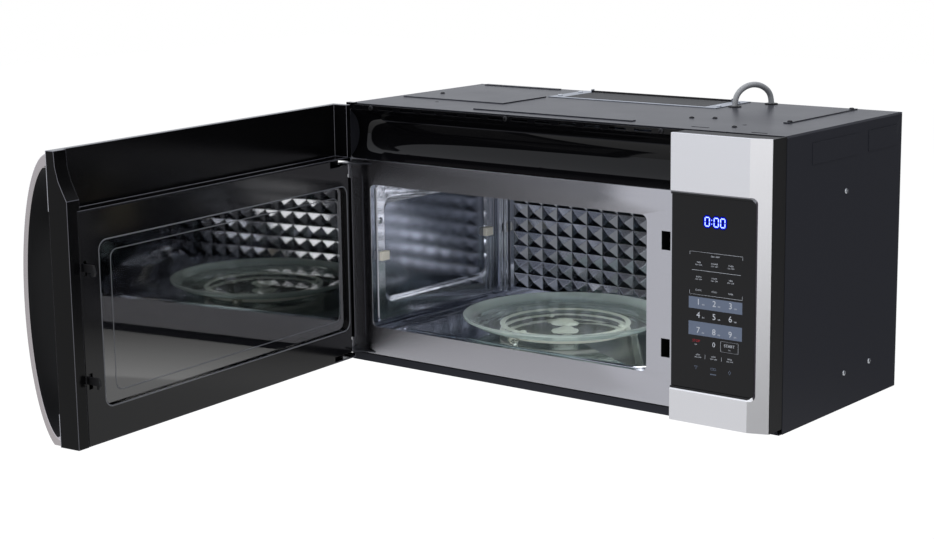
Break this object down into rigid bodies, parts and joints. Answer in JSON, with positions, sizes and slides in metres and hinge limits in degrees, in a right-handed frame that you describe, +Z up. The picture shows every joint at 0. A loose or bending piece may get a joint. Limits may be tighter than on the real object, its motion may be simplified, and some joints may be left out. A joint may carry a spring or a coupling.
{
  "type": "over the range microwave oven",
  "caption": "Over the range convection microwave with a side-hinged door, glass turntable, touch controls, curved air guide, grease filters and an exhaust adapter.",
  "frame": {"origin": "on the wall face, mid-width, at the level of the cabinet's underside; the flat_face mount wall_face is stated 5 mm above it so that its point lies on the face", "axes": "+X to the right as one faces the front, +Y towards the wall, +Z up; the door stands open by 85 degrees at rest"},
  "size_m": [0.7823, 0.9554, 0.435],
  "materials": {
    "paint_black": "gloss black paint",
    "zinc_sheet": "zinc coated",
    "steel_brushed": "fine vertical grain",
    "steel_polished": "polished",
    "plastic_black": "gloss",
    "plastic_matte": "matte",
    "plastic_beige": "matte",
    "plastic_clear": "clear",
    "glass_black": "black coated glass",
    "glass_clear": "clear",
    "handle_metal": "satin outside",
    "filter_mesh": "layers of expanded mesh",
    "charcoal": "matte",
    "iron_core": "varnished laminations",
    "board_green": "lacquered",
    "mica": "matte",
    "rubber_black": "matte",
    "cord_grey": "satin",
    "screw_steel": "bright",
    "heater_steel": "dark oxide"
  },
  "bodies": {
    "cabinet": {"outer_wrap": "paint_black", "rear_panel": "zinc_sheet", "base_plate": "zinc_sheet", "cavity_liner": "steel_polished", "cavity_back": "steel_polished", "face_plate": "steel_brushed", "vent_panel": "plastic_black", "top_trim": "plastic_black", "control_fascia": "steel_brushed", "control_housing": "plastic_matte", "control_glass": "glass_black", "display_module": "plastic_matte", "control_board": "board_green", "latch_body": "plastic_beige", "interlock_switches": "plastic_matte", "magnetron": "zinc_sheet", "waveguide": "zinc_sheet", "waveguide_cover": "mica", "hv_transformer": "iron_core", "hv_capacitor": "zinc_sheet", "noise_filter": "board_green", "turntable_motor": "zinc_sheet", "vent_blower_housing": "zinc_sheet", "vent_blower_motor": "zinc_sheet", "cooling_fan_housing": "plastic_matte", "cooling_fan_motor": "iron_core", "convection_housing": "zinc_sheet", "convection_heater": "heater_steel", "convection_motor": "iron_core", "exhaust_adapter": "zinc_sheet", "charcoal_filter": "charcoal", "cooktop_lamp": "zinc_sheet", "cavity_lamp": "zinc_sheet", "rack_supports": "plastic_beige", "cabinet_screws": "screw_steel", "cord_bushing": "rubber_black", "power_cord": "cord_grey", "cabinet_hinges": "screw_steel"},
    "door": {"door_frame": "paint_black", "door_panel": "plastic_black", "door_bands": "steel_brushed", "door_glass": "glass_black", "inner_glass": "glass_clear", "choke_cover": "plastic_black", "door_handle": "handle_metal"},
    "latch": {"latch_hooks": "plastic_matte", "latch_spring": "screw_steel"},
    "coupler": {"turntable_coupler": "plastic_clear"},
    "tray": {"glass_tray": "glass_clear"},
    "ring": {"roller_ring": "plastic_beige"},
    "roller_one": {"roller_1": "plastic_clear"},
    "roller_two": {"roller_2": "plastic_clear"},
    "roller_three": {"roller_3": "plastic_clear"},
    "vent_wheels": {"vent_blower_wheels": "plastic_matte"},
    "cooling_blade": {"cooling_fan_blade": "plastic_matte"},
    "hot_air_fan": {"convection_fan": "steel_polished"},
    "damper": {"exhaust_damper": "zinc_sheet"},
    "filter_left": {"grease_filter_left": "filter_mesh"},
    "filter_right": {"grease_filter_right": "filter_mesh"},
    "lamp_glass": {"lamp_cover": "glass_clear"}
  },
  "joints": [
    {"name": "door_hinge", "type": "hinge", "parent": "cabinet", "child": "door", "pos_m": [-0.3745, -0.3537, 0.198], "axis": [0, 0, 1], "range_deg": [-20, 85]},
    {"name": "latch_slide", "type": "slide", "parent": "door", "child": "latch", "axis": [0, 0, 1], "range_m": [0, 0.004], "stiffness_N_per_m": 300, "springref_m": -0.01, "deforming": ["latch_spring"]},
    {"name": "coupler_spin", "type": "hinge", "parent": "cabinet", "child": "coupler", "pos_m": [-0.0825, -0.178, 0.059], "axis": [0, 0, 1], "continuous": true},
    {"name": "tray_lift", "type": "slide", "parent": "coupler", "child": "tray", "axis": [0, 0, 1], "range_m": [0, 0.04]},
    {"name": "ring_spin", "type": "hinge", "parent": "cabinet", "child": "ring", "pos_m": [-0.0825, -0.178, 0.059], "axis": [0, 0, 1], "continuous": true},
    {"name": "roller_one_spin", "type": "hinge", "parent": "ring", "child": "roller_one", "pos_m": [0.01899, -0.14106, 0.059], "axis": [0.9397, 0.342, 0], "continuous": true},
    {"name": "roller_two_spin", "type": "hinge", "parent": "ring", "child": "roller_two", "pos_m": [-0.16523, -0.10858, 0.059], "axis": [-0.766, 0.6428, 0], "continuous": true},
    {"name": "roller_three_spin", "type": "hinge", "parent": "ring", "child": "roller_three", "pos_m": [-0.10125, -0.28436, 0.059], "axis": [-0.1736, -0.9848, 0], "continuous": true},
    {"name": "vent_fan_spin", "type": "hinge", "parent": "cabinet", "child": "vent_wheels", "pos_m": [-0.015, -0.062, 0.3388], "axis": [1, 0, 0], "continuous": true},
    {"name": "cooling_fan_spin", "type": "hinge", "parent": "cabinet", "child": "cooling_blade", "pos_m": [0.312, -0.036, 0.168], "axis": [0, 1, 0], "continuous": true},
    {"name": "hot_air_fan_spin", "type": "hinge", "parent": "cabinet", "child": "hot_air_fan", "pos_m": [0.1968, -0.105, 0.168], "axis": [1, 0, 0], "continuous": true},
    {"name": "damper_hinge", "type": "hinge", "parent": "cabinet", "child": "damper", "pos_m": [-0.015, -0.0185, 0.4024], "axis": [-1, 0, 0], "range_deg": [0, 70]},
    {"name": "filter_left_drop", "type": "slide", "parent": "cabinet", "child": "filter_left", "axis": [0, 0, -1], "range_m": [0, 0.05]},
    {"name": "filter_right_drop", "type": "slide", "parent": "cabinet", "child": "filter_right", "axis": [0, 0, -1], "range_m": [0, 0.05]},
    {"name": "lamp_glass_hinge", "type": "hinge", "parent": "cabinet", "child": "lamp_glass", "pos_m": [0, -0.243, 0.0033], "axis": [1, 0, 0], "range_deg": [0, 80]}
  ],
  "couplings": [
    {"joint": "ring_spin", "follows": "coupler_spin", "ratio": 0.5},
    {"joint": "roller_one_spin", "follows": "coupler_spin", "ratio": -7.013},
    {"joint": "roller_two_spin", "follows": "coupler_spin", "ratio": -7.013},
    {"joint": "roller_three_spin", "follows": "coupler_spin", "ratio": -7.013}
  ]
}
